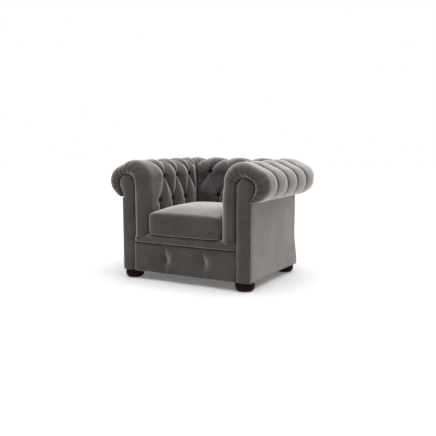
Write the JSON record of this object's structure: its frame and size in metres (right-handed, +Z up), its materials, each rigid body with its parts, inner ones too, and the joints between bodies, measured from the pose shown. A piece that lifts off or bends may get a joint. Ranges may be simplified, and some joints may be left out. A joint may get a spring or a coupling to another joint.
{
  "type": "chesterfield armchair",
  "caption": "Diamond-tufted low armchair with rolled arms and back level with each other, padded scroll fronts, loose seat cushion and turned bun feet.",
  "frame": {"origin": "on the floor, under the middle of the chair's box", "axes": "+X to the right as seen from the front, its width; +Y from the front to the back; +Z up"},
  "size_m": [1.074, 0.829, 0.7202],
  "materials": {
    "velvet": "grey velvet with a strong nap sheen",
    "hardwood": "planed, unfinished frame timber",
    "dark_wood": "dark stained and lacquered",
    "steel": "bright zinc",
    "hessian": "coarse plain weave",
    "lining": "black bonded lining cloth",
    "nylon": "moulded nylon"
  },
  "bodies": {
    "root": {"front_rail": "hardwood", "back_rail": "hardwood", "side_rail_right": "hardwood", "side_rail_left": "hardwood", "front_corner_block_right": "hardwood", "front_corner_block_left": "hardwood", "rear_corner_block_right": "hardwood", "rear_corner_block_left": "hardwood", "front_post_right": "hardwood", "front_post_left": "hardwood", "back_post_right": "hardwood", "back_post_left": "hardwood", "scroll_board_right": "hardwood", "scroll_board_left": "hardwood", "arm_board_right": "hardwood", "arm_board_left": "hardwood", "back_board": "hardwood", "arm_tack_rail_right": "hardwood", "arm_tack_rail_left": "hardwood", "back_tack_rail": "hardwood", "arm_roll_former_right": "hardwood", "arm_roll_former_left": "hardwood", "back_roll_former": "hardwood", "arm_inside_panel_right": "hessian", "arm_inside_panel_left": "hessian", "back_inside_panel": "hessian", "seat_hessian": "hessian", "seat_spring_1": "steel", "seat_spring_2": "steel", "seat_spring_3": "steel", "seat_spring_4": "steel", "seat_spring_5": "steel", "front_spring_strip": "steel", "rear_spring_strip": "steel", "front_foot_bolt_right": "steel", "front_foot_bolt_left": "steel", "rear_foot_bolt_right": "steel", "rear_foot_bolt_left": "steel", "seat_deck": "velvet", "arm_pad_right": "velvet", "arm_pad_left": "velvet", "back_pad": "velvet", "facing_right": "velvet", "facing_left": "velvet", "front_border": "velvet", "seat_lip": "velvet", "outside_arm_right": "velvet", "outside_arm_left": "velvet", "outside_back": "velvet", "dust_cover": "lining", "front_foot_right": "dark_wood", "front_foot_left": "dark_wood", "rear_foot_right": "dark_wood", "rear_foot_left": "dark_wood", "front_foot_glide_right": "nylon", "front_foot_glide_left": "nylon", "rear_foot_glide_right": "nylon", "rear_foot_glide_left": "nylon"},
    "seat_cushion": {"seat_cushion": "velvet"}
  },
  "joints": [
    {"name": "cushion_lift", "type": "slide", "parent": "root", "child": "seat_cushion", "axis": [0, 0, 1], "range_m": [0, 0.45]}
  ]
}
